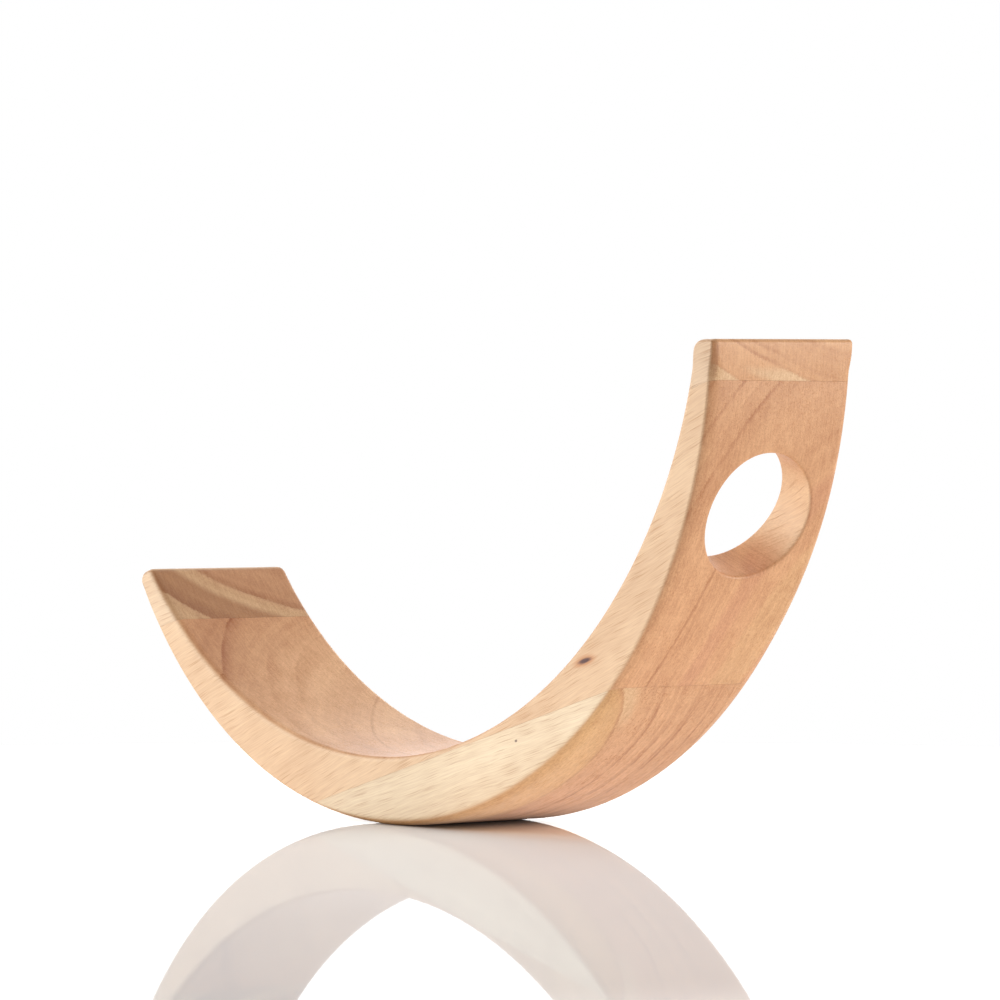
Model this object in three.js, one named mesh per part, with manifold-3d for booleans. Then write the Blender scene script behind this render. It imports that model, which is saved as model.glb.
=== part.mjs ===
// Balancing bottle holder: a wooden crescent cut from an edge-glued panel, with a hole for a bottle neck.
// Units are millimetres and +Z is up. The crescent lies in the XZ plane and is as wide as the panel in Y.
// It stands in its balanced pose: the arm with the neck hole points to +X and is the higher one.
// The origin is the middle of the line where the curved base touches the table.
import * as THREE from 'three';
import { mergeVertices } from 'three/addons/utils/BufferGeometryUtils.js';
import Module from 'manifold-3d';

// Driving dimensions of the crescent
const OUTER_RADIUS = 140;
const WIDTH = 50.5;
const BASE_THICKNESS = 20;
const TIP_THICKNESS = 7.5;
const BALANCE_TILT = THREE.MathUtils.degToRad(15.8);

// Boards of the panel, measured square to the glue lines: the web of the arm board over the base board,
// the whole arm board, and how far each tip stands above the upper glue line
const WEB_THICKNESS = 1.4;
const ARM_BOARD_HEIGHT = 68.4;
const LEFT_TIP_HEIGHT = 17.4;
const RIGHT_TIP_HEIGHT = 11.4;
const GLUE_LINE = 0.1;

// Neck hole, drilled square to the outer face
const HOLE_DIAMETER = 35.5;
const HOLE_ANGLE = THREE.MathUtils.degToRad(52.4);

// Soft edges: the long arrises, the corners of the tips and the flat that the curved base stands on
const EDGE_RADIUS = 2.6;
const TIP_CORNER_RADIUS = 3;
const CONTACT_FLAT = 5;

// Most that one corner may take of its tip's thickness, and an arris of its corner's radius
const CORNER_SHARE = 0.45;
const EDGE_SHARE = 0.9;

// Tone of each board and the finish that they share
const BASE_COLOUR = 0xf0d5ab;
const ARM_COLOUR = 0xe2b384;
const LEFT_STRIP_COLOUR = 0xdba878;
const RIGHT_STRIP_COLOUR = 0xdfae7e;
const WOOD_ROUGHNESS = 0.55;

// Fineness of the curves
const ARC_STEP = THREE.MathUtils.degToRad(2);
const CORNER_STEP = THREE.MathUtils.degToRad(18);
const EDGE_STEPS = 4;
const HOLE_SIDES = 64;

// Spare length by which cutting solids run past what they cut
const CUT_MARGIN = 10;

// Heights of the two glue lines and the two tips above the centre of the outer curve
const lowerLine = BASE_THICKNESS - WEB_THICKNESS - OUTER_RADIUS;
const upperLine = lowerLine + ARM_BOARD_HEIGHT;
const leftTip = upperLine + LEFT_TIP_HEIGHT;
const rightTip = upperLine + RIGHT_TIP_HEIGHT;

// The inner curve is the circle through the top of the base and the inner edge of the taller tip,
// which is the thinner one
const tallerTip = Math.max(leftTip, rightTip);
const outerTipHalf = Math.sqrt(OUTER_RADIUS ** 2 - tallerTip ** 2);
const innerTipHalf = outerTipHalf - TIP_THICKNESS;
const innerDepth = tallerTip + OUTER_RADIUS - BASE_THICKNESS;
const innerRadius = (innerTipHalf ** 2 + innerDepth ** 2) / (2 * innerDepth);
const innerCentreHeight = BASE_THICKNESS + innerRadius - OUTER_RADIUS;

// A corner leaves room for the other one on its tip, and an arris fits round a corner
const cornerRadius = Math.min(TIP_CORNER_RADIUS, TIP_THICKNESS * CORNER_SHARE);
const edgeRadius = Math.min(EDGE_RADIUS, cornerRadius * EDGE_SHARE);

const wasm = await Module();
wasm.setup();

// Turns a closed geometry into a solid that can be joined and cut
function toSolid(geometry) {
  geometry.deleteAttribute('normal');
  geometry.deleteAttribute('uv');
  const merged = mergeVertices(geometry);
  const vertProperties = new Float32Array(merged.attributes.position.array);
  const triVerts = new Uint32Array(merged.index.array);
  return new wasm.Manifold(new wasm.Mesh({ numProp: 3, vertProperties, triVerts }));
}

// Turns a solid back into a geometry
function toGeometry(solid) {
  const mesh = solid.getMesh();
  const geometry = new THREE.BufferGeometry();
  geometry.setAttribute('position', new THREE.BufferAttribute(new Float32Array(mesh.vertProperties), 3));
  geometry.setIndex(new THREE.BufferAttribute(new Uint32Array(mesh.triVerts), 1));
  return geometry;
}

// Points along an arc, its end included and its start left to the curve before it.
// Angles are measured from straight down, positive towards +X.
function arcPoints(centre, radius, from, to, step) {
  const count = Math.max(2, Math.ceil(Math.abs(to - from) / step));
  const points = [];
  for (let i = 1; i <= count; i += 1) {
    const angle = from + ((to - from) * i) / count;
    points.push(new THREE.Vector2(
      centre.x + radius * Math.sin(angle),
      centre.y - radius * Math.cos(angle),
    ));
  }
  return points;
}

// Angle of one point seen from another, measured from straight down
function angleOf(centre, point) {
  return Math.atan2(point.x - centre.x, centre.y - point.y);
}

// Centres of the two rounded corners of a tip: side is 1 for the right tip and -1 for the left one
function tipCorners(side, tip) {
  const y = tip - cornerRadius;
  const outerReach = OUTER_RADIUS - cornerRadius;
  const innerReach = innerRadius + cornerRadius;
  return {
    outer: new THREE.Vector2(side * Math.sqrt(outerReach ** 2 - y ** 2), y),
    inner: new THREE.Vector2(side * Math.sqrt(innerReach ** 2 - (y - innerCentreHeight) ** 2), y),
  };
}

// Outline of the crescent, counter-clockwise from the right end of the contact flat
function crescentOutline() {
  const outerCentre = new THREE.Vector2(0, 0);
  const innerCentre = new THREE.Vector2(0, innerCentreHeight);
  const right = tipCorners(1, rightTip);
  const left = tipCorners(-1, leftTip);
  const flatHalfAngle = Math.asin(CONTACT_FLAT / 2 / OUTER_RADIUS);
  const flatLeft = -BALANCE_TILT - flatHalfAngle;
  const flatRight = -BALANCE_TILT + flatHalfAngle;
  const rightOuter = angleOf(outerCentre, right.outer);
  const leftOuter = angleOf(outerCentre, left.outer);
  const rightInner = angleOf(innerCentre, right.inner);
  const leftInner = angleOf(innerCentre, left.inner);
  const contactStart = new THREE.Vector2(
    OUTER_RADIUS * Math.sin(flatRight),
    -OUTER_RADIUS * Math.cos(flatRight),
  );
  return [
    contactStart,
    ...arcPoints(outerCentre, OUTER_RADIUS, flatRight, rightOuter, ARC_STEP),
    ...arcPoints(right.outer, cornerRadius, rightOuter, Math.PI, CORNER_STEP),
    right.inner.clone().add(new THREE.Vector2(0, cornerRadius)),
    ...arcPoints(right.inner, cornerRadius, Math.PI, Math.PI + rightInner, CORNER_STEP),
    ...arcPoints(innerCentre, innerRadius, rightInner, leftInner, ARC_STEP),
    ...arcPoints(left.inner, cornerRadius, leftInner + Math.PI, Math.PI, CORNER_STEP),
    left.outer.clone().add(new THREE.Vector2(0, cornerRadius)),
    ...arcPoints(left.outer, cornerRadius, -Math.PI, leftOuter, CORNER_STEP),
    ...arcPoints(outerCentre, OUTER_RADIUS, leftOuter, flatLeft, ARC_STEP),
  ];
}

// The whole crescent before it is parted into boards, with rounded arrises
function crescentSolid() {
  const depth = WIDTH - 2 * edgeRadius;
  const geometry = new THREE.ExtrudeGeometry(new THREE.Shape(crescentOutline()), {
    depth,
    bevelEnabled: true,
    bevelThickness: edgeRadius,
    bevelSize: edgeRadius,
    bevelOffset: -edgeRadius,
    bevelSegments: EDGE_STEPS,
  });
  geometry.rotateX(Math.PI / 2);
  geometry.translate(0, depth / 2, 0);
  return toSolid(geometry);
}

// The drill that makes the neck hole, pointing out of the centre of the outer curve
function holeDrill() {
  const length = BASE_THICKNESS + 2 * CUT_MARGIN;
  const radius = HOLE_DIAMETER / 2;
  const geometry = new THREE.CylinderGeometry(radius, radius, length, HOLE_SIDES);
  geometry.translate(0, -(OUTER_RADIUS + CUT_MARGIN - length / 2), 0);
  geometry.rotateX(Math.PI / 2);
  geometry.rotateY(-HOLE_ANGLE);
  return toSolid(geometry);
}

// A slab of the panel between two heights and two places along X
function slab(low, high, left, right) {
  const geometry = new THREE.BoxGeometry(right - left, WIDTH + 2 * CUT_MARGIN, high - low);
  geometry.translate((left + right) / 2, 0, (low + high) / 2);
  return toSolid(geometry);
}

// Wood, with the tone of one board
function wood(colour) {
  return new THREE.MeshStandardMaterial({ color: colour, roughness: WOOD_ROUGHNESS, metalness: 0 });
}

const holder = new THREE.Group();
const crescent = crescentSolid().subtract(holeDrill());
const halfGlue = GLUE_LINE / 2;
const reach = OUTER_RADIUS + CUT_MARGIN;

// Adds one board: the part of the crescent that lies in its slab
function addBoard(name, colour, low, high, left, right) {
  const mesh = new THREE.Mesh(toGeometry(crescent.intersect(slab(low, high, left, right))), wood(colour));
  mesh.name = name;
  holder.add(mesh);
}

addBoard('base_board', BASE_COLOUR, -reach, lowerLine - halfGlue, -reach, reach);
addBoard('arm_board', ARM_COLOUR, lowerLine + halfGlue, upperLine - halfGlue, -reach, reach);
addBoard('left_tip_strip', LEFT_STRIP_COLOUR, upperLine + halfGlue, reach, -reach, 0);
addBoard('right_tip_strip', RIGHT_STRIP_COLOUR, upperLine + halfGlue, reach, 0, reach);

// The balanced pose: turned about Y until the contact flat is level, and set on the table
holder.rotation.y = -BALANCE_TILT;
holder.position.z = Math.sqrt(OUTER_RADIUS ** 2 - (CONTACT_FLAT / 2) ** 2);

export default holder;
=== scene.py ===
import math
from collections import namedtuple

import bmesh
import bpy
from mathutils import Matrix, Vector

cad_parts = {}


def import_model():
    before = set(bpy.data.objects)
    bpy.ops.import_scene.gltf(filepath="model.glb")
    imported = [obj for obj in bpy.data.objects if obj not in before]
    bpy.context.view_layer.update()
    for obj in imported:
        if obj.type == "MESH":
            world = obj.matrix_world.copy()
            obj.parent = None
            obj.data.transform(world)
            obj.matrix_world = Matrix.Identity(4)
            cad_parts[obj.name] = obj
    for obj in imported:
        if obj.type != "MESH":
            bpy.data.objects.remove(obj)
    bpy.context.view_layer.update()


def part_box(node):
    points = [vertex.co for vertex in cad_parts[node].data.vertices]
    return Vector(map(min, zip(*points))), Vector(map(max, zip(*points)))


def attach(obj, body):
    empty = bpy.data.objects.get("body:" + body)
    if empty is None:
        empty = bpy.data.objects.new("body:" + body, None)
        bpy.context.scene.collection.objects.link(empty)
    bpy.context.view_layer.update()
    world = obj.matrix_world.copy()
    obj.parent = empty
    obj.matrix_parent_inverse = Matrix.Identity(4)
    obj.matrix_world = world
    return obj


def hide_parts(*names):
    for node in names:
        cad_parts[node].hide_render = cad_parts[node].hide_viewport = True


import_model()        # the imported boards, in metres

# The boards are shaped in the panel's own frame, in millimetres: X runs along the grain, Y across the
# width and Z square to the glue lines, with the centre of the outer curve at the origin.
MM = 0.001

# Sizes of the crescent
OUTER_RADIUS = 140.0
BASE_THICKNESS = 20.0
TIP_THICKNESS = 7.5
BALANCE_TILT = math.radians(15.8)
WEB_THICKNESS = 1.4
ARM_BOARD_HEIGHT = 68.4
LEFT_TIP_HEIGHT = 17.4
RIGHT_TIP_ABOVE_TABLE = 135.0
RIGHT_TIP_RISE = 0.6
GLUE_SEAM = 0.04
UPPER_LINE_SLOPE = 0.004
HOLE_RADIUS = 17.75
HOLE_ANGLE = math.radians(52.4)
HOLE_RIM = 0.9
TIP_CORNER_RADIUS = 3.0
RIGHT_OUTER_CORNER = 1.25
RIGHT_INNER_CORNER = 3.4
CONTACT_FLAT = 5.0

# How far an arris cuts into the outline: least round the right tip, little on the outside of the arms at the
# front and on the inside of the base, more at the front of the base, on the inside of the arms and round
# the left tip, and most on the outside at the back. Across the width it reaches as far, but further at the
# front on the outside and round the right tip.
EDGE_CRISP = 1.6
EDGE_CRISP_REACH = 4.6
EDGE_BASE = 2.4
EDGE_INSIDE = 2.4
EDGE_TIP = 2.2
EDGE_RIGHT_TIP = 1.05
EDGE_BACK_ARM = 2.6
EDGE_BACK_BASE = 4.6

# Where one arris passes into another: how far from the middle on the outside, at the front and at the back,
# how high on the inside, how high from a tip's end face, and how far the outline looks outwards
FRONT_CHANGE = (30, 85)
BACK_CHANGE = (78, 118)
INSIDE_CHANGE = (-118, -58)
TIP_CHANGE = (-9, -2.5)
OUTSIDE_CHANGE = (-60, 60)

# Heights from the right tip's end face between which its rise to the back sets in
RISE_CHANGE = (-6, -1)

# Fineness of the meshes
ARC_STEPS = 90
ABOVE_HOLE_STEPS = 18
CORNER_STEPS = 10
EDGE_STEPS = 6
FLAT_COLUMNS = 20
HOLE_ROWS = 20
PATCH_RINGS = 6
RIM_STEPS = 5
WALL_STEPS = 6
SHARP_ANGLE = math.radians(35)

# Width of the narrow faces that keep a flat face flat next to an arris
EDGE_HOLD = 0.25

# Half height of the part of a curved face that is meshed around the neck hole
PATCH_HALF = 23.0

# Where the lines across a side face lie, as shares of the way from the outer to the inner curve
LADDER = (0.015, 0.35, 0.65, 0.985)

# Sizes that follow from those above
box_low, box_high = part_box("arm_board")
width = (box_high.y - box_low.y) / MM
half_flat = width / 2 - EDGE_BACK_BASE - 2 * EDGE_HOLD
lower_line = BASE_THICKNESS - WEB_THICKNESS - OUTER_RADIUS
upper_line = lower_line + ARM_BOARD_HEIGHT
left_tip = upper_line + LEFT_TIP_HEIGHT
inner_tip_half = math.sqrt(OUTER_RADIUS ** 2 - left_tip ** 2) - TIP_THICKNESS
inner_depth = left_tip + OUTER_RADIUS - BASE_THICKNESS
inner_radius = (inner_tip_half ** 2 + inner_depth ** 2) / (2 * inner_depth)
inner_height = BASE_THICKNESS + inner_radius - OUTER_RADIUS
centre_height = math.sqrt(OUTER_RADIUS ** 2 - (CONTACT_FLAT / 2) ** 2)

# The way each tip's end face looks, and how far that way it lies from the centre of the outer curve.
# The left one is parallel to the glue lines. The right one is level in the balanced pose along the grain,
# and rises a little from front to back.
left_up = Vector((0, 1))
right_up = Vector((math.sin(BALANCE_TILT), math.cos(BALANCE_TILT)))
right_tip = RIGHT_TIP_ABOVE_TABLE - centre_height

# From the panel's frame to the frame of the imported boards
to_world = (
    Matrix.Translation((0, 0, centre_height * MM))
    @ Matrix.Rotation(-BALANCE_TILT, 4, "Y")
    @ Matrix.Scale(MM, 4)
)

# Direction of the neck hole, out of the centre of the outer curve, and the direction square to it
hole_out = Vector((math.sin(HOLE_ANGLE), -math.cos(HOLE_ANGLE)))
hole_side = Vector((math.cos(HOLE_ANGLE), math.sin(HOLE_ANGLE)))


# Point of a curved face that lies sideways from the hole's axis
def face_point(height, radius, sideways):
    centre = Vector((0, height))
    reach = math.sqrt(radius ** 2 - (sideways - centre.dot(hole_side)) ** 2)
    return sideways * hole_side + (centre.dot(hole_out) + reach) * hole_out


# Angle of a point seen from a centre on the Z axis, measured from straight down
def angle_of(height, point):
    return math.atan2(point.x, height - point.y)


# Points of an arc with their outward directions, both ends included
def arc(centre, radius, start, end, steps, outward=1):
    points = []
    for i in range(steps + 1):
        angle = start + (end - start) * i / steps
        direction = Vector((math.sin(angle), -math.cos(angle)))
        points.append((centre + radius * direction, outward * direction))
    return points


# Centre of a rounded corner under a tip's end face: side is 1 on the right and -1 on the left
def corner_centre(side, up, tip, height, reach, rounding):
    centre = Vector((0, height))
    rise = tip - rounding - centre.dot(up)
    aside = side * Vector((up.y, -up.x))
    return centre + rise * up + math.sqrt(reach ** 2 - rise ** 2) * aside


# One long side of the outline, from the left tip to the right one, with the rows of the hole's patch
def chain(height, radius, outward):
    centre = Vector((0, height))
    right_rounding = RIGHT_OUTER_CORNER if outward > 0 else RIGHT_INNER_CORNER
    left_reach = radius - outward * TIP_CORNER_RADIUS
    right_reach = radius - outward * right_rounding
    left = corner_centre(-1, left_up, left_tip, height, left_reach, TIP_CORNER_RADIUS)
    right = corner_centre(1, right_up, right_tip, height, right_reach, right_rounding)
    left_angle = angle_of(height, left)
    right_angle = angle_of(height, right)
    sides = [PATCH_HALF * (2 * i / HOLE_ROWS - 1) for i in range(HOLE_ROWS + 1)]
    patch = [face_point(height, radius, side) for side in sides]
    before = arc(centre, radius, left_angle, angle_of(height, patch[0]), ARC_STEPS, outward)
    after = arc(centre, radius, angle_of(height, patch[-1]), right_angle, ABOVE_HOLE_STEPS, outward)
    between = [(point, outward * (point - centre).normalized()) for point in patch[1:-1]]

    # A corner turns between straight up and the long side, and looks the other way on the inner side
    top = math.pi * outward
    turn = 0 if outward > 0 else math.pi
    first = arc(left, TIP_CORNER_RADIUS, -top, left_angle + turn * -outward, CORNER_STEPS)
    last = arc(right, right_rounding, right_angle + turn, math.pi - BALANCE_TILT, CORNER_STEPS)
    points = first[:-1] + before + between + after + last[1:]
    first_row = len(first) - 1 + len(before) - 1
    return points, first_row


# Smooth step from 0 at low to 1 at high
def smooth(value, low, high):
    share = min(max((value - low) / (high - low), 0), 1)
    return share * share * (3 - 2 * share)


# Step from one value to another by a share
def blend(a, b, share):
    return a + (b - a) * share


# Depth and reach of the arris at a point of the outline, at the front and at the back
def edges(point, direction):
    is_left = point.x < 0
    above_tip = point.dot(left_up) - left_tip if is_left else point.dot(right_up) - right_tip
    tip_depth = EDGE_TIP if is_left else EDGE_RIGHT_TIP
    near_tip = smooth(above_tip, *TIP_CHANGE)
    outside = smooth(point.dot(direction), *OUTSIDE_CHANGE)
    inside = blend(EDGE_CRISP, EDGE_INSIDE, smooth(point.y, *INSIDE_CHANGE))
    front = blend(EDGE_BASE, EDGE_CRISP, smooth(abs(point.x), *FRONT_CHANGE))
    back = blend(EDGE_BACK_BASE, EDGE_BACK_ARM, smooth(abs(point.x), *BACK_CHANGE))
    front_depth = blend(blend(inside, front, outside), tip_depth, near_tip)
    front_reach = blend(blend(inside, EDGE_CRISP_REACH, outside), EDGE_TIP, near_tip)
    back_depth = blend(blend(inside, back, outside), tip_depth, near_tip)
    return (front_depth, front_reach), (back_depth, back_depth)


# Places from a side face inwards, with how far each lies in from the outline
def edge_profile(depth, reach):
    places = []
    for i in range(EDGE_STEPS + 1):
        angle = math.pi / 2 * (1 - i / EDGE_STEPS)
        places.append((width / 2 - reach + reach * math.sin(angle), depth * (1 - math.cos(angle))))
    places.append((places[-1][0] - EDGE_HOLD, 0.0))
    return places


# Places across the width, from front to back, at a point of the outline: arris, flat face, arris
def width_profile(point, direction):
    front_edge, back_edge = edges(point, direction)
    front = [(-y, inset) for y, inset in edge_profile(*front_edge)]
    flat = [(half_flat * (2 * i / FLAT_COLUMNS - 1), 0.0) for i in range(FLAT_COLUMNS + 1)]
    return front + flat + edge_profile(*back_edge)[::-1]


# Joins two rows of vertices with quads
def bridge(bm, row_a, row_b):
    for a, b, c, d in zip(row_a, row_a[1:], row_b[1:], row_b):
        bm.faces.new((a, b, c, d))


# Flat side face between the two long sides of the outline, as a ladder of quads
def side_face(bm, rows, outer, inner, tips, column):
    lanes = []
    for i, (a, b) in enumerate(zip(outer, inner)):
        start, end = rows[a][column], rows[b][column]
        if i in (0, len(outer) - 1):
            middle = [rows[k][column] for k in tips[0 if i == 0 else 1]]
        else:
            middle = [bm.verts.new(start.co.lerp(end.co, share)) for share in LADDER]
        lanes.append([start, *middle, end])
    for lane_a, lane_b in zip(lanes, lanes[1:]):
        bridge(bm, lane_a, lane_b)


# Vertices round the edge of a hole's patch, with their places sideways and across
def patch_edge(rows, indices, first_column):
    last_column = first_column + FLAT_COLUMNS
    edge = [(0, j) for j in range(first_column, last_column)]
    edge += [(i, last_column) for i in range(HOLE_ROWS)]
    edge += [(HOLE_ROWS, j) for j in range(last_column, first_column, -1)]
    edge += [(i, first_column) for i in range(HOLE_ROWS, 0, -1)]
    found = []
    for i, j in edge:
        sideways = PATCH_HALF * (2 * i / HOLE_ROWS - 1)
        vert = rows[indices[i]][j]
        found.append((vert, Vector((sideways, vert.co.y))))
    return found


# Rings of vertices from the edge of a patch to the rounded rim of the hole and down into it
def hole_rings(bm, edge, height, radius, outward):
    def place(flat, depth):
        point = face_point(height, radius, flat.x) - outward * depth * hole_out
        return bm.verts.new((point.x, flat.y, point.y))

    rings = [[vert for vert, flat in edge]]
    rim = HOLE_RADIUS + HOLE_RIM
    for k in range(1, PATCH_RINGS):
        share = k / PATCH_RINGS
        rings.append([place(flat.lerp(flat.normalized() * rim, share), 0) for vert, flat in edge])
    for k in range(RIM_STEPS + 1):
        angle = math.pi / 2 * k / RIM_STEPS
        reach = rim - HOLE_RIM * math.sin(angle)
        depth = HOLE_RIM * (1 - math.cos(angle))
        rings.append([place(flat.normalized() * reach, depth) for vert, flat in edge])
    return rings


# The whole crescent as one closed mesh, before it is parted into boards
def crescent():
    bm = bmesh.new()
    outer, outer_row = chain(0, OUTER_RADIUS, 1)
    inner, inner_row = chain(inner_height, inner_radius, -1)
    count = len(outer)
    left_flat = [(outer[0][0].lerp(inner[0][0], share), left_up) for share in LADDER]
    right_flat = [(outer[-1][0].lerp(inner[-1][0], share), right_up) for share in LADDER]
    outline = outer + right_flat + inner[::-1] + left_flat[::-1]
    rows = []
    for point, direction in outline:
        row = []
        rise = 0
        if point.x > 0:
            rise = RIGHT_TIP_RISE * smooth(point.dot(right_up) - right_tip, *RISE_CHANGE)
        for y, inset in width_profile(point, direction):
            from_front = y / width + 0.5
            place = point - inset * direction + rise * from_front * right_up
            row.append(bm.verts.new((place.x, y, place.y)))
        rows.append(row)

    outer_index = list(range(count))
    right_index = list(range(count, count + len(LADDER)))
    inner_index = list(range(2 * count + len(LADDER) - 1, count + len(LADDER) - 1, -1))
    left_index = list(range(len(rows) - 1, 2 * count + len(LADDER) - 1, -1))
    outer_patch = outer_index[outer_row:outer_row + HOLE_ROWS + 1]
    inner_patch = inner_index[inner_row:inner_row + HOLE_ROWS + 1]
    skipped = set(outer_patch[:-1]) | set(inner_patch[1:])

    # The arris and the narrow face that holds it come before the first column of the flat face
    first_column = EDGE_STEPS + 2
    for i in range(len(rows)):
        row_a, row_b = rows[i], rows[(i + 1) % len(rows)]
        if i in skipped:
            bridge(bm, row_a[:first_column + 1], row_b[:first_column + 1])
            bridge(bm, row_a[first_column + FLAT_COLUMNS:], row_b[first_column + FLAT_COLUMNS:])
        else:
            bridge(bm, row_a, row_b)
    for column in (0, len(rows[0]) - 1):
        side_face(bm, rows, outer_index, inner_index, (left_index, right_index), column)

    outer_edge = patch_edge(rows, outer_patch, first_column)
    inner_edge = patch_edge(rows, inner_patch, first_column)
    rings = hole_rings(bm, outer_edge, 0, OUTER_RADIUS, 1)
    back_rings = hole_rings(bm, inner_edge, inner_height, inner_radius, -1)
    wall_start, wall_end = rings[-1], back_rings[-1]
    for k in range(1, WALL_STEPS):
        pairs = zip(wall_start, wall_end)
        rings.append([bm.verts.new(a.co.lerp(b.co, k / WALL_STEPS)) for a, b in pairs])
    rings += back_rings[::-1]
    for ring_a, ring_b in zip(rings, rings[1:]):
        bridge(bm, ring_a + ring_a[:1], ring_b + ring_b[:1])
    bmesh.ops.recalc_face_normals(bm, faces=bm.faces)
    return bm


# Cuts away what lies below or above a glue line and closes the cut. The upper glue line falls a little
# from the right tip to the left one.
def trim(bm, line, keep_above):
    geometry = bm.verts[:] + bm.edges[:] + bm.faces[:]
    slope = UPPER_LINE_SLOPE if line == upper_line else 0
    seam = GLUE_SEAM / 2 if keep_above else -GLUE_SEAM / 2
    cut = bmesh.ops.bisect_plane(
        bm, geom=geometry, plane_co=(OUTER_RADIUS, 0, line + seam), plane_no=(-slope, 0, 1),
        clear_inner=keep_above, clear_outer=not keep_above,
    )
    cut_edges = [item for item in cut["geom_cut"] if isinstance(item, bmesh.types.BMEdge)]
    bmesh.ops.holes_fill(bm, edges=cut_edges, sides=0)


# One board: the part of the crescent between two heights, on one side of the middle where a side is given
def board(name, node, material, low=None, high=None, side=0):
    bm = crescent()
    if low is not None:
        trim(bm, low, True)
    if high is not None:
        trim(bm, high, False)
    if side:
        bmesh.ops.delete(bm, geom=[v for v in bm.verts if v.co.x * side < 0], context="VERTS")
    bmesh.ops.recalc_face_normals(bm, faces=bm.faces)
    bm.transform(to_world)
    for vert in bm.verts:
        vert.co.z = max(vert.co.z, 0)
    mesh = bpy.data.meshes.new(name)
    bm.to_mesh(mesh)
    bm.free()
    mesh.shade_smooth()
    mesh.set_sharp_from_angle(angle=SHARP_ANGLE)
    mesh.materials.append(material)
    piece = bpy.data.objects.new(name, mesh)
    bpy.context.scene.collection.objects.link(piece)
    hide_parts(node)
    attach(piece, "root")


# Range that most of a noise lies in, and its middle
NOISE_LOW = 0.3
NOISE_HIGH = 0.7
NOISE_MIDDLE = 0.5

# How far from its middle a pore ends, in its own sizes. It is full one size further in.
PORE_END = 1.4


# Short ways to add shader nodes and link them
class Shader:
    def __init__(self, name):
        self.material = bpy.data.materials.new(name)
        self.material.use_nodes = True
        self.tree = self.material.node_tree
        self.tree.nodes.clear()

    def put(self, kind, inputs=None, **settings):
        node = self.tree.nodes.new(kind)
        for key, value in settings.items():
            setattr(node, key, value)
        for key, value in (inputs or {}).items():
            if isinstance(value, bpy.types.NodeSocket):
                self.tree.links.new(value, node.inputs[key])
            elif value is not None:
                node.inputs[key].default_value = value
        return node

    def math(self, operation, a, b=None, c=None, clamp=False):
        inputs = {0: a, 1: b, 2: c}
        return self.put("ShaderNodeMath", inputs, operation=operation, use_clamp=clamp).outputs[0]

    def total(self, first, *others):
        for other in others:
            first = self.math("ADD", first, other)
        return first

    def product(self, first, *others):
        for other in others:
            first = self.math("MULTIPLY", first, other)
        return first

    def vector(self, operation, a, b=None):
        node = self.put("ShaderNodeVectorMath", {0: a, 1: b}, operation=operation)
        return node.outputs["Value" if operation in ("DOT_PRODUCT", "LENGTH") else "Vector"]

    def join(self, x=None, y=None, z=None):
        return self.put("ShaderNodeCombineXYZ", {0: x, 1: y, 2: z}).outputs[0]

    def ramp(self, value, low, high, to_low=0.0, to_high=1.0):
        inputs = {"Value": value, "From Min": low, "From Max": high, "To Min": to_low, "To Max": to_high}
        return self.put("ShaderNodeMapRange", inputs, interpolation_type="SMOOTHSTEP").outputs[0]

    def noise(self, vector, scale=1.0, detail=2.0, roughness=0.5):
        inputs = {"Vector": vector, "Scale": scale, "Detail": detail, "Roughness": roughness}
        return self.put("ShaderNodeTexNoise", inputs).outputs["Fac"]

    # A noise with its own scale in each direction
    def drawn_noise(self, vector, scales, detail=2.0, roughness=0.5):
        return self.noise(self.vector("MULTIPLY", vector, scales), 1.0, detail, roughness)

    # A noise as values that swing between a dark and a light one
    def swing(self, noise, dark, light):
        return self.ramp(noise, NOISE_LOW, NOISE_HIGH, dark, light)

    # Dashes of several sizes, one in each cell
    def pores(self, vector, kind):
        cells = self.vector("MULTIPLY", vector, kind.scales)
        cell = self.put("ShaderNodeTexVoronoi", {"Vector": cells, "Scale": 1.0}, feature="F1").outputs
        pick = self.put("ShaderNodeSeparateColor", {0: cell["Color"]}).outputs[0]
        size = self.ramp(pick, 0.0, 1.0, kind.least, kind.most)
        return self.math("SUBTRACT", PORE_END, self.math("DIVIDE", cell["Distance"], size), clamp=True)

    def mix(self, share, a, b):
        return self.put("ShaderNodeMix", {0: share, 6: a, 7: b}, data_type="RGBA").outputs[2]


# A colour as linear light, by the sRGB curve
def srgb(red, green, blue):
    return tuple(((v / 255 + 0.055) / 1.055) ** 2.4 for v in (red, green, blue)) + (1.0,)


# Tones of the wood. Some of them also paint light and shade: the left arm's pale and dark tones, and the
# left strip's cut and dark tones.
BASE_FACE = srgb(243, 217, 182)
BASE_CUT = srgb(217, 163, 117)
BASE_HEART = srgb(215, 166, 110)
ARM_FACE = srgb(239, 201, 161)
ARM_CUT = srgb(216, 160, 114)
ARM_YELLOW = srgb(223, 175, 124)
# Partly painted light and shade: paler and darker tones that zones lay over the left arm's curved faces
ARM_PALE_AND_LIT = srgb(236, 185, 138)
ARM_DARK_AND_SHADED = srgb(190, 132, 88)
TIP_FACE = srgb(239, 206, 170)
TIP_CUT = srgb(221, 165, 114)
# Partly painted shade: the left strip's cut tone is darker than its wood alone, and its dark zone is darker
# still
LEFT_CUT_AND_SHADED = srgb(190, 137, 95)
LEFT_DARK_AND_SHADED = srgb(170, 120, 78)
LEFT_PALE = srgb(208, 156, 114)
SAPWOOD = srgb(232, 194, 148)
RED_BAND = srgb(202, 138, 102)
PORE = srgb(174, 104, 50)
KNOT = srgb(72, 40, 44)
KNOT_HALO = srgb(206, 136, 84)
STAIN = srgb(146, 92, 54)

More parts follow.
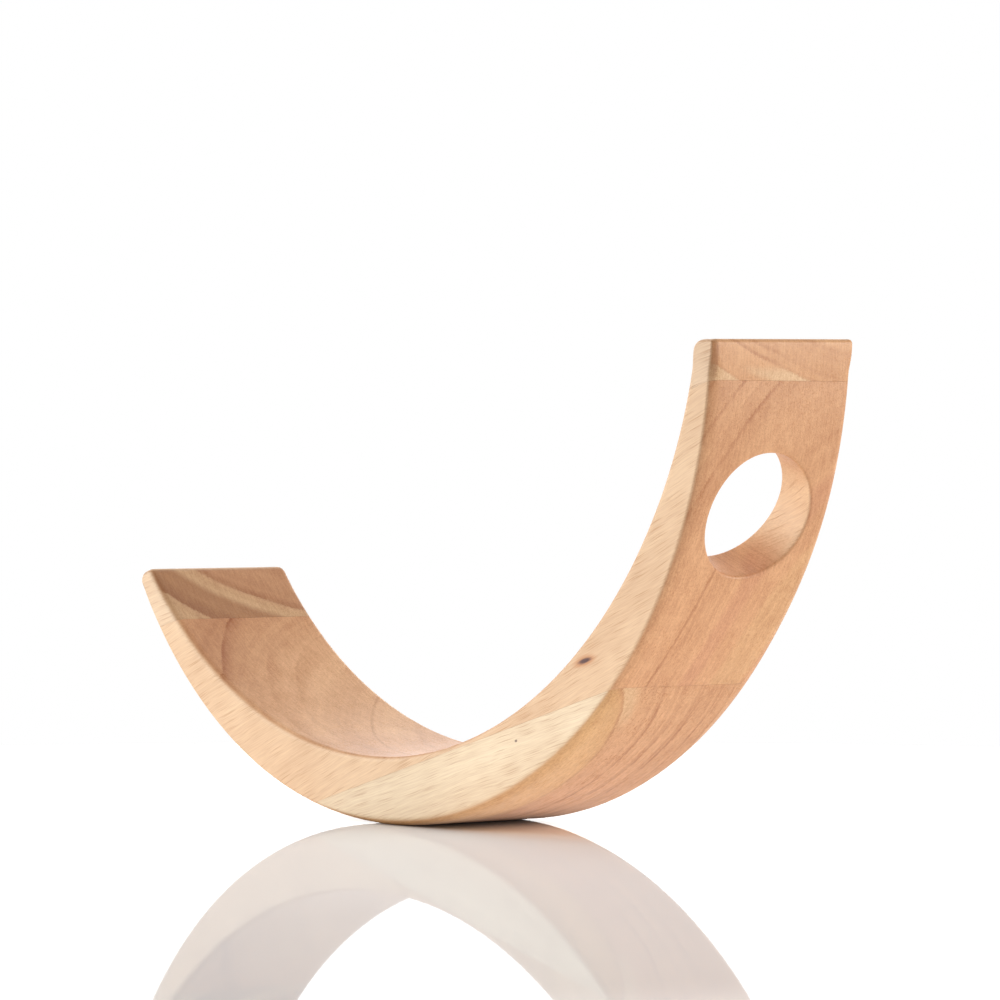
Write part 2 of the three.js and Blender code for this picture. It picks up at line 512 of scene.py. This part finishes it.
# Directions of the grain and square to the glue lines, in the balanced pose
GRAIN = (math.cos(BALANCE_TILT), 0, math.sin(BALANCE_TILT))
SQUARE_TO_GLUE = (-math.sin(BALANCE_TILT), 0, math.cos(BALANCE_TILT))

# A face is sawn while the sideways part of its normal is under the first value, and planed from the second
# on. End grain sets in over a range of the normal's part along the grain.
SAWN_UNTIL = 0.5
PLANED_FROM = 0.985
END_GRAIN_CHANGE = (0.1, 0.8)

# Repeats of each pattern in a millimetre: along the grain, across the width and square to the glue lines,
# or in all directions, or along the radius from the pith
WANDER_SCALES = (0.008, 0.03, 0.03)
FIBRE_SCALES = (0.045, 2.2, 2.2)
FLECK_SCALES = (0.12, 3.6, 3.6)
STREAK_SCALES = (0.02, 0.5, 0.5)
WAVE_SCALE = 0.06
STIPPLE_SCALE = 1.5
MOTTLE_SCALE = 0.07
BLOTCH_SCALE = 0.16
BAND_SCALE = 0.3
BROAD_SCALE = 0.09
FINE_SCALE = 1.1

# Repeats of the sanding marks in a millimetre along the curve and across the width. The third value leaves
# a board's seed as it is.
SCRATCH_SCALES = (0.2, 1.9, 1.0)

# Millimetres along the grain by which one step of a board's seed shifts its blotches
BLOTCH_STEP = 20

# Cells and sizes of the pores on planed and on sawn faces
Pores = namedtuple("Pores", "scales least most")
FACE_PORES = Pores((0.09, 0.05, 3.1), 0.05, 0.36)
CUT_PORES = Pores((0.07, 2.4, 2.4), 0.12, 0.4)

# How far the pith wanders, the grain waves and the edges of rings, zones and spots are frayed by fibres
WANDER_REACH = (0, 4, 4)
WAVE_REACH = 1.6
RING_FRAY = 1.6
SPOT_FRAY = 0.9

# How much each pattern darkens and lightens the wood
FIBRE_RANGE = (0.25, 0.75)
FIBRE_SHADES = (-0.07, 0.05)
FLECK_SHADES = (-0.07, 0.055)
STREAK_SHADES = (-0.02, 0.02)
MOTTLE_SHADES = (-0.03, 0.03)
BAND_SHADES = (-0.05, 0.05)
BROAD_SHADES = (-0.06, 0.06)
SCRATCH_SHADES = (-0.08, 0.08)
BLOTCH_SHADES = (-0.035, 0.035)
STIPPLE_SHADES = (-0.055, 0.055)
END_GRAIN_SHADE = -0.07

# Shares of bands, rings and pores that show on a planed face, of pores on a sawn one, and what open grain
# adds to them
PLANED_BANDS = 0.5
PLANED_RINGS = 0.12
PLANED_PORES = 0.38
SAWN_PORES = 0.3
OPEN_PORES = 0.4

# Rings are faint in patches: range of the mottle, and the least that shows
PATCH_RANGE = (0.35, 0.62)
PATCH_LEAST = 0.35

# How strongly shading acts on red, green and blue
WARMTH = (0.75, 1.1, 1.35)

# Widths in millimetres, around the radius or place that they belong to: the ends of rings and zones along
# the grain, a ring's thin line and its edge, the edges of open grain, and the start of the close rings
GRAIN_FADE = 12
LINE_START = 0.9
LINE_FULL = 0.1
RING_EDGE = 0.5
OPEN_EDGE = 1
CLOSE_BEFORE = 2
CLOSE_AFTER = 4

# How quickly the soft side of a ring darkens, and the core and rim of a spot as shares of its size
RING_POWER = 1.5
SPOT_CORE = 0.35
SPOT_RIM = 1.1

# Finish: roughness by fibres, more in pores and on planed faces, and the relief of fibres and pores
ROUGH_RANGE = (0.2, 0.8)
ROUGHNESS = (0.38, 0.5)
PORE_ROUGHNESS = 0.2
PLANED_ROUGHNESS = 0.1
FIBRE_RELIEF = 0.4
BUMP_STRENGTH = 0.3
BUMP_DEPTH = 0.00012

# A growth ring that shows between two places along the grain: a soft dark side and a thin dark line.
# slope is how much its radius grows for each millimetre along the grain.
FAR = 2 * OUTER_RADIUS
RING_DEFAULTS = (0.7, -FAR, FAR, 0.0)
Ring = namedtuple("Ring", "radius softness strength line start end slope", defaults=RING_DEFAULTS)

# A zone between two radii with its own tone: edge and fade are half the widths over which it comes and goes.
# It is full at one height, gone at another, and ends at a place along the grain.
ZONE_DEFAULTS = (0.3, 1.5, FAR, 2 * FAR, FAR)
Zone = namedtuple("Zone", "inner outer tone strength edge fade full gone end", defaults=ZONE_DEFAULTS)

# A knot, speck or stain
Spot = namedtuple("Spot", "place half_sizes tone strength")


# How much of a zone shows: near is the distance from the pith, x the place along the grain and z the height
def zone_share(s, zone, near, x, z):
    rise = s.ramp(near, zone.inner - zone.edge, zone.inner + zone.edge)
    fall = s.ramp(near, zone.outer - zone.fade, zone.outer + zone.fade, zone.strength, 0.0)
    height = s.ramp(z, zone.full, zone.gone, 1.0, 0.0)
    length = s.ramp(x, zone.end - GRAIN_FADE, zone.end + GRAIN_FADE, 1.0, 0.0)
    return s.product(rise, fall, height, length)


# How dark a ring is, from the distance to the pith and the place along the grain
def ring_share(s, ring, distance, x):
    near = s.math("MULTIPLY_ADD", x, -ring.slope, distance)
    soft = s.math("POWER", s.ramp(near, ring.radius - ring.softness, ring.radius), RING_POWER)
    thin = s.ramp(near, ring.radius - LINE_START, ring.radius - LINE_FULL)
    dark = s.math("MULTIPLY_ADD", thin, ring.line, soft)
    fall = s.ramp(near, ring.radius, ring.radius + RING_EDGE, ring.strength, 0.0)
    start = s.ramp(x, ring.start - GRAIN_FADE, ring.start + GRAIN_FADE)
    end = s.ramp(x, ring.end - GRAIN_FADE, ring.end + GRAIN_FADE, 1.0, 0.0)
    return s.product(dark, fall, start, end)


# Wood of one board: growth rings about a pith that runs along the grain, pores, fibres and cut faces.
# pith is its place across and square to the glue lines at the middle of the panel, and lean how far that
# shifts for each millimetre along the grain. Pores lie closest between the two radii of open_grain, and
# fine_rings is the strength of the close rings from there outwards. The end face of a tip is planed too.
def wood(name, face_tone, cut_tone, pith, lean=(0.0, 0.0), seed=0.0, rings=(), zones=(), spots=(),
         open_grain=(0.0, 0.1), fine_rings=0.02, is_tip=False):
    s = Shader(name)
    turned = Matrix.Rotation(BALANCE_TILT, 3, "Y") @ Vector((0, 0, centre_height))
    panel = s.put("ShaderNodeMapping", {
        "Vector": s.put("ShaderNodeTexCoord").outputs["Object"],
        "Location": -turned,
        "Rotation": (0, BALANCE_TILT, 0),
        "Scale": (1 / MM,) * 3,
    }).outputs[0]
    x, y, z = s.put("ShaderNodeSeparateXYZ", {0: panel}).outputs

    # How far the surface turns from a planed side face to a sawn one, and from side grain to end grain
    normal = s.put("ShaderNodeNewGeometry").outputs["Normal"]
    sideways = s.math("ABSOLUTE", s.vector("DOT_PRODUCT", normal, (0, 1, 0)))
    if is_tip:
        sideways = s.math("MAXIMUM", sideways, s.vector("DOT_PRODUCT", normal, SQUARE_TO_GLUE))
    cut_share = s.ramp(sideways, SAWN_UNTIL, PLANED_FROM, 1.0, 0.0)
    face_share = s.math("SUBTRACT", 1.0, cut_share)
    end_lean = s.math("ABSOLUTE", s.vector("DOT_PRODUCT", normal, GRAIN))
    end_share = s.ramp(end_lean, *END_GRAIN_CHANGE)

    # Distance from the pith, with a slow wander along the grain, and a place that follows the grain
    slow = s.vector("ADD", s.vector("MULTIPLY", panel, WANDER_SCALES), (seed,) * 3)
    wander = s.put("ShaderNodeTexNoise", {"Vector": slow, "Scale": 1.0, "Detail": 2.0}).outputs["Color"]
    shift = s.vector("MULTIPLY", s.vector("SUBTRACT", wander, (NOISE_MIDDLE,) * 3), WANDER_REACH)
    across = s.math("MULTIPLY_ADD", x, -lean[0], s.math("SUBTRACT", y, pith[0]))
    upward = s.math("MULTIPLY_ADD", x, -lean[1], s.math("SUBTRACT", z, pith[1]))
    radius = s.vector("LENGTH", s.vector("ADD", s.join(y=across, z=upward), shift))
    wavy = s.math("MULTIPLY_ADD", s.noise(panel, WAVE_SCALE), WAVE_REACH, upward)
    in_grain = s.join(x, y, wavy)
    along_radius = s.join(radius, seed)
    bands = s.noise(along_radius, BAND_SCALE, detail=3.0, roughness=0.6)
    broad = s.noise(along_radius, BROAD_SCALE, detail=1.0)
    fine = s.noise(along_radius, FINE_SCALE, roughness=0.6)

    # Fibres and pores, drawn out along the grain, and marks that are not
    fibres = s.drawn_noise(in_grain, FIBRE_SCALES, detail=4.0, roughness=0.65)
    flecks = s.drawn_noise(in_grain, FLECK_SCALES)
    streaks = s.drawn_noise(in_grain, STREAK_SCALES)
    stipple = s.noise(panel, STIPPLE_SCALE, roughness=0.6)
    mottle = s.noise(panel, MOTTLE_SCALE, detail=3.0)
    blotches = s.noise(s.vector("ADD", panel, (seed * BLOTCH_STEP, 0, 0)), BLOTCH_SCALE)
    round_curve = s.math("ARCTAN2", x, s.math("MULTIPLY", z, -1.0))
    on_curve = s.join(s.math("MULTIPLY", round_curve, OUTER_RADIUS), y, seed)
    scratches = s.drawn_noise(on_curve, SCRATCH_SCALES, detail=3.0, roughness=0.6)
    cut_pores = s.product(s.pores(in_grain, CUT_PORES), cut_share)
    pores = s.math("MULTIPLY_ADD", s.pores(in_grain, FACE_PORES), face_share, cut_pores)
    fray = s.math("SUBTRACT", fibres, NOISE_MIDDLE)
    frayed = s.math("MULTIPLY_ADD", fray, RING_FRAY, radius)

    # Tone: planed to sawn face, and zones
    tone = s.mix(cut_share, face_tone, cut_tone)
    for zone in zones:
        tone = s.mix(s.product(zone_share(s, zone, frayed, x, z), cut_share), tone, zone.tone)

    # Shading on all faces, more on sawn ones, and rings
    shade = s.total(
        s.ramp(fibres, *FIBRE_RANGE, *FIBRE_SHADES),
        s.swing(mottle, *MOTTLE_SHADES),
        s.swing(flecks, *FLECK_SHADES),
        s.swing(streaks, *STREAK_SHADES),
        s.product(s.swing(bands, *BAND_SHADES), s.ramp(cut_share, 0.0, 1.0, PLANED_BANDS, 1.0)),
        s.swing(broad, *BROAD_SHADES),
        s.math("MULTIPLY", end_share, END_GRAIN_SHADE),
    )
    near_open, far_open = open_grain
    close_start = s.ramp(radius, near_open - CLOSE_BEFORE, near_open + CLOSE_AFTER)
    sawn_shade = s.total(
        s.swing(scratches, *SCRATCH_SHADES),
        s.swing(blotches, *BLOTCH_SHADES),
        s.product(s.swing(fine, -fine_rings, fine_rings), close_start),
        s.swing(stipple, *STIPPLE_SHADES),
    )
    shade = s.math("MULTIPLY_ADD", sawn_shade, cut_share, shade)
    lines = ring_share(s, rings[0], frayed, x)
    for ring in rings[1:]:
        lines = s.math("MAXIMUM", lines, ring_share(s, ring, frayed, x))
    ring_strength = s.ramp(cut_share, 0.0, 1.0, PLANED_RINGS, 1.0)
    patchy = s.ramp(mottle, *PATCH_RANGE, PATCH_LEAST, 1.0)
    shade = s.math("SUBTRACT", shade, s.product(lines, ring_strength, patchy))
    tint = s.join(*[s.math("MULTIPLY_ADD", shade, warmth, 1.0) for warmth in WARMTH])
    tone = s.vector("MULTIPLY", tone, tint)

    # Pores and spots
    opened = s.product(
        s.ramp(radius, near_open - OPEN_EDGE, near_open + OPEN_EDGE),
        s.ramp(radius, far_open - OPEN_EDGE, far_open + OPEN_EDGE, 1.0, 0.0),
    )
    usual_share = s.ramp(cut_share, 0.0, 1.0, PLANED_PORES, SAWN_PORES)
    pore_share = s.math("MULTIPLY_ADD", opened, OPEN_PORES, usual_share)
    tone = s.mix(s.product(pores, pore_share), tone, PORE)
    for spot in spots:
        away = s.vector("DIVIDE", s.vector("SUBTRACT", panel, spot.place), spot.half_sizes)
        ragged = s.math("MULTIPLY_ADD", fray, SPOT_FRAY, s.vector("LENGTH", away))
        tone = s.mix(s.ramp(ragged, SPOT_CORE, SPOT_RIM, spot.strength, 0.0), tone, spot.tone)

    # Satin finish with a little relief in the pores and fibres
    relief = s.math("SUBTRACT", s.math("MULTIPLY", fibres, FIBRE_RELIEF), pores)
    bump = s.put("ShaderNodeBump", {"Height": relief, "Strength": BUMP_STRENGTH, "Distance": BUMP_DEPTH})
    rough = s.total(
        s.ramp(fibres, *ROUGH_RANGE, *ROUGHNESS),
        s.math("MULTIPLY", pores, PORE_ROUGHNESS),
        s.math("MULTIPLY", face_share, PLANED_ROUGHNESS),
    )
    surface = s.put("ShaderNodeBsdfPrincipled", {
        "Base Color": tone, "Roughness": rough, "Normal": bump.outputs[0],
    })
    s.put("ShaderNodeOutputMaterial", {"Surface": surface.outputs[0]})
    return s.material


# Places of the spots: on the front, and for the stain a little behind it on the outer curve
STAIN_DEPTH = 1.2
STAIN_HEIGHT = -48.0
front = -width / 2
knot_place = (60.0, front, -111.3)
speck_place = (25.8, front, -125.4)
stain_place = (math.sqrt(OUTER_RADIUS ** 2 - STAIN_HEIGHT ** 2), front + STAIN_DEPTH, STAIN_HEIGHT)

base_wood = wood(
    "base_wood", BASE_FACE, BASE_CUT, pith=(-33.3, -141.7), seed=3.1,
    open_grain=(28.0, 35.0), fine_rings=0.08,
    rings=[
        Ring(23.8, 1.5, 0.16),
        Ring(34.2, 3.0, 0.22),
        Ring(40.6, 3.5, 0.23),
        Ring(46.0, 4.0, 0.25),
        Ring(51.4, 2.0, 0.16),
        Ring(55.2, 5.0, 0.2),
    ],
    zones=[
        Zone(0.0, 23.8, BASE_HEART, 0.8),
        Zone(24.0, 27.0, SAPWOOD, 0.75, full=-125.0, gone=-131.0),
    ],
    spots=[Spot(speck_place, (0.7, 1.0, 0.4), KNOT, 0.8)],
)
arm_wood = wood(
    "arm_wood", ARM_FACE, ARM_CUT, pith=(59.4, -141.0), lean=(-0.075, 0.12), seed=7.4,
    rings=[
        Ring(69.6, 1.4, 0.32, start=0, end=104),
        Ring(79.0, 0.9, 0.14, end=0),
        Ring(87.6, 2.0, 0.17, line=0.8, start=0),
        Ring(91.8, 1.4, 0.08, line=0.8, start=0),
        Ring(95.9, 2.0, 0.2, line=0.8, start=0),
        Ring(103.0, 2.4, 0.12, line=0.5, start=0),
        Ring(69.5, 5.0, 0.1, line=0.1, end=0, slope=-0.305),
        Ring(76.6, 6.0, 0.12, line=0.1, end=0, slope=-0.305),
        Ring(88.8, 4.5, 0.34, line=0.4, end=0, slope=-0.305),
    ],
    zones=[
        Zone(36.0, 47.0, ARM_YELLOW, 0.6, edge=1.5),
        Zone(53.0, 58.5, RED_BAND, 0.4, edge=1.5),
        # Painted shade and light as well as the wood's tone: on the left arm's curved faces, darker towards
        # the front and paler towards the back in its upper part
        Zone(-1.0, 114.0, ARM_PALE_AND_LIT, 0.85, fade=14.0, full=-97.0, gone=-112.0, end=-10.0),
        Zone(116.0, FAR, ARM_DARK_AND_SHADED, 0.6, edge=14.0, end=-10.0),
    ],
    spots=[
        Spot(knot_place, (5.6, 3.0, 1.9), KNOT_HALO, 0.8),
        Spot(knot_place, (3.5, 2.4, 0.8), KNOT, 0.95),
    ],
)
left_wood = wood(
    "left_strip_wood", TIP_FACE, LEFT_CUT_AND_SHADED, pith=(44.0, 31.0), seed=1.7, is_tip=True,
    rings=[Ring(85.4, 4.0, 0.2, line=0.3), Ring(101.5, 6.0, 0.26, line=0.3)],
    zones=[
        # Painted shade as well as the wood's tone: the left strip's curved faces are darker overall, and
        # darker towards the front
        Zone(88.0, FAR, LEFT_DARK_AND_SHADED, 0.9, edge=5.0),
        Zone(-1.0, 80.0, LEFT_PALE, 0.6, fade=8.0),
        Zone(85.6, 91.0, SAPWOOD, 0.5, edge=1.0),
        Zone(101.6, 120.0, SAPWOOD, 0.45, edge=0.8),
    ],
)
right_wood = wood(
    "right_strip_wood", TIP_FACE, TIP_CUT, pith=(45.5, 92.5), seed=5.2, is_tip=True,
    rings=[
        Ring(141.0, 1.6, 0.1, line=0.3),
        Ring(147.0, 1.6, 0.16, line=0.3),
        Ring(149.6, 1.4, 0.2, line=0.4),
        Ring(157.6, 1.0, 0.12, line=0.3),
    ],
    zones=[
        Zone(149.6, 154.0, SAPWOOD, 0.75, full=-51.6, gone=-48.8),
        Zone(157.6, 175.0, SAPWOOD, 0.75),
    ],
    spots=[Spot(stain_place, (7.0, 1.5, 8.0), STAIN, 0.55)],
)

board("base_board_smooth", "base_board", base_wood, high=lower_line)
board("arm_board_smooth", "arm_board", arm_wood, low=lower_line, high=upper_line)
board("left_tip_smooth", "left_tip_strip", left_wood, low=upper_line, side=-1)
board("right_tip_smooth", "right_tip_strip", right_wood, low=upper_line, side=1)

WHITE = (1, 1, 1, 1)

# Floor: a round glossy white sheet, its colour as it lights the wood, and its gloss
FLOOR_RADIUS = 0.56
FLOOR_CENTRE = Vector((0.12, -0.1))
FLOOR_SIDES = 96
FLOOR_BOUNCE = (0.85, 0.85, 0.85, 1)
FLOOR_GLOSS = 0.28
FLOOR_ROUGHNESS = 0.02

# Soft changes with the distance from the middle of the contact line, which counts less along that line:
# the light that the floor gives the wood, how bright it is in the wood's reflections, and a lift at its rim
CONTACT_SHAPE = (1.0, 0.6, 0.0)
GLOW_CHANGE = (0.018, 0.055)
FLOOR_GLOW = 0.46
MIRROR_CHANGE = (0.01, 0.045)
LIFT_CHANGE = (0.4, 0.5)
FLOOR_LIFT = 0.25


def floor():
    s = Shader("floor_white")
    seen = s.put("ShaderNodeBsdfDiffuse", {"Color": WHITE}).outputs[0]
    lighting = s.put("ShaderNodeBsdfDiffuse", {"Color": FLOOR_BOUNCE}).outputs[0]
    place = s.put("ShaderNodeNewGeometry").outputs["Position"]
    away = s.vector("LENGTH", s.vector("MULTIPLY", place, CONTACT_SHAPE))

    def light(strength):
        return s.put("ShaderNodeEmission", {"Color": WHITE, "Strength": strength}).outputs[0]

    glow = light(s.ramp(away, *GLOW_CHANGE, 0.0, FLOOR_GLOW))
    bounce = s.put("ShaderNodeAddShader", {0: lighting, 1: glow}).outputs[0]
    mirrored = light(s.ramp(away, *MIRROR_CHANGE))
    gloss = s.put("ShaderNodeBsdfGlossy", {"Color": WHITE, "Roughness": FLOOR_ROUGHNESS}).outputs[0]
    polished = s.put("ShaderNodeMixShader", {0: FLOOR_GLOSS, 1: seen, 2: gloss}).outputs[0]
    lifted = light(s.ramp(away, *LIFT_CHANGE, 0.0, FLOOR_LIFT))
    polished = s.put("ShaderNodeAddShader", {0: polished, 1: lifted}).outputs[0]
    path = s.put("ShaderNodeLightPath").outputs
    shown = s.put("ShaderNodeMixShader", {0: path["Is Glossy Ray"], 1: bounce, 2: mirrored}).outputs[0]
    shown = s.put("ShaderNodeMixShader", {0: path["Is Camera Ray"], 1: shown, 2: polished}).outputs[0]
    s.put("ShaderNodeOutputMaterial", {"Surface": shown})
    mesh = bpy.data.meshes.new("floor")
    angles = [2 * math.pi * i / FLOOR_SIDES for i in range(FLOOR_SIDES)]
    rim = [FLOOR_CENTRE + FLOOR_RADIUS * Vector((math.cos(a), math.sin(a))) for a in angles]
    mesh.from_pydata([(*point, 0) for point in rim], [], [tuple(range(FLOOR_SIDES))])
    mesh.materials.append(s.material)
    sheet = bpy.data.objects.new("floor", mesh)
    bpy.context.scene.collection.objects.link(sheet)


# World: white to the camera and in reflections, and an even soft light to the wood
WORLD_LIGHT = 0.2


def world():
    made = bpy.data.worlds.new("studio")
    made.use_nodes = True
    tree = made.node_tree
    background = tree.nodes["Background"]
    background.inputs["Color"].default_value = WHITE
    path = tree.nodes.new("ShaderNodeLightPath").outputs
    seen = path["Is Camera Ray"]
    for kind in ("Is Glossy Ray", "Is Transmission Ray"):
        either = tree.nodes.new("ShaderNodeMath")
        either.operation = "MAXIMUM"
        tree.links.new(seen, either.inputs[0])
        tree.links.new(path[kind], either.inputs[1])
        seen = either.outputs[0]
    strength = tree.nodes.new("ShaderNodeMapRange")
    strength.inputs["To Min"].default_value = WORLD_LIGHT
    strength.inputs["To Max"].default_value = 1.0
    tree.links.new(seen, strength.inputs["Value"])
    tree.links.new(strength.outputs[0], background.inputs["Strength"])
    bpy.context.scene.world = made


# A square soft light that points at the middle of the holder, and may stay out of glossy reflections
AIM = Vector((0.0, 0.0, 0.06))


def softbox(name, place, side, watts, mirrored=True):
    lamp = bpy.data.lights.new(name, "AREA")
    lamp.shape = "SQUARE"
    lamp.size = side
    lamp.energy = watts
    lit = bpy.data.objects.new(name, lamp)
    lit.location = place
    lit.rotation_euler = (AIM - Vector(place)).to_track_quat("-Z", "Y").to_euler()
    lit.visible_glossy = mirrored
    bpy.context.scene.collection.objects.link(lit)


# Camera: its place, and the way it looks, level with the lower part of the arms
CAMERA_PLACE = (1.14507, -0.92052, 0.10418)
CAMERA_AZIMUTH = math.radians(50.679)
CAMERA_PITCH = math.radians(0.484)
CAMERA_LENS = 185.2
SENSOR_WIDTH = 36.0


def camera():
    data = bpy.data.cameras.new("camera")
    data.lens = CAMERA_LENS
    data.sensor_width = SENSOR_WIDTH
    made = bpy.data.objects.new("camera", data)
    made.location = CAMERA_PLACE
    made.rotation_euler = (math.pi / 2 - CAMERA_PITCH, 0, CAMERA_AZIMUTH)
    bpy.context.scene.collection.objects.link(made)
    bpy.context.scene.camera = made


floor()
world()
softbox("key", place=(-1.35, -1.4, 0.75), side=1.5, watts=29.7)
softbox("top", place=(0.0, 0.2, 1.3), side=0.9, watts=4.7, mirrored=False)
softbox("right", place=(1.05, 0.95, 0.35), side=0.7, watts=12)
softbox("back", place=(-1.35, 1.1, 0.25), side=1.2, watts=9)
camera()
bpy.context.scene.view_settings.view_transform = "Standard"
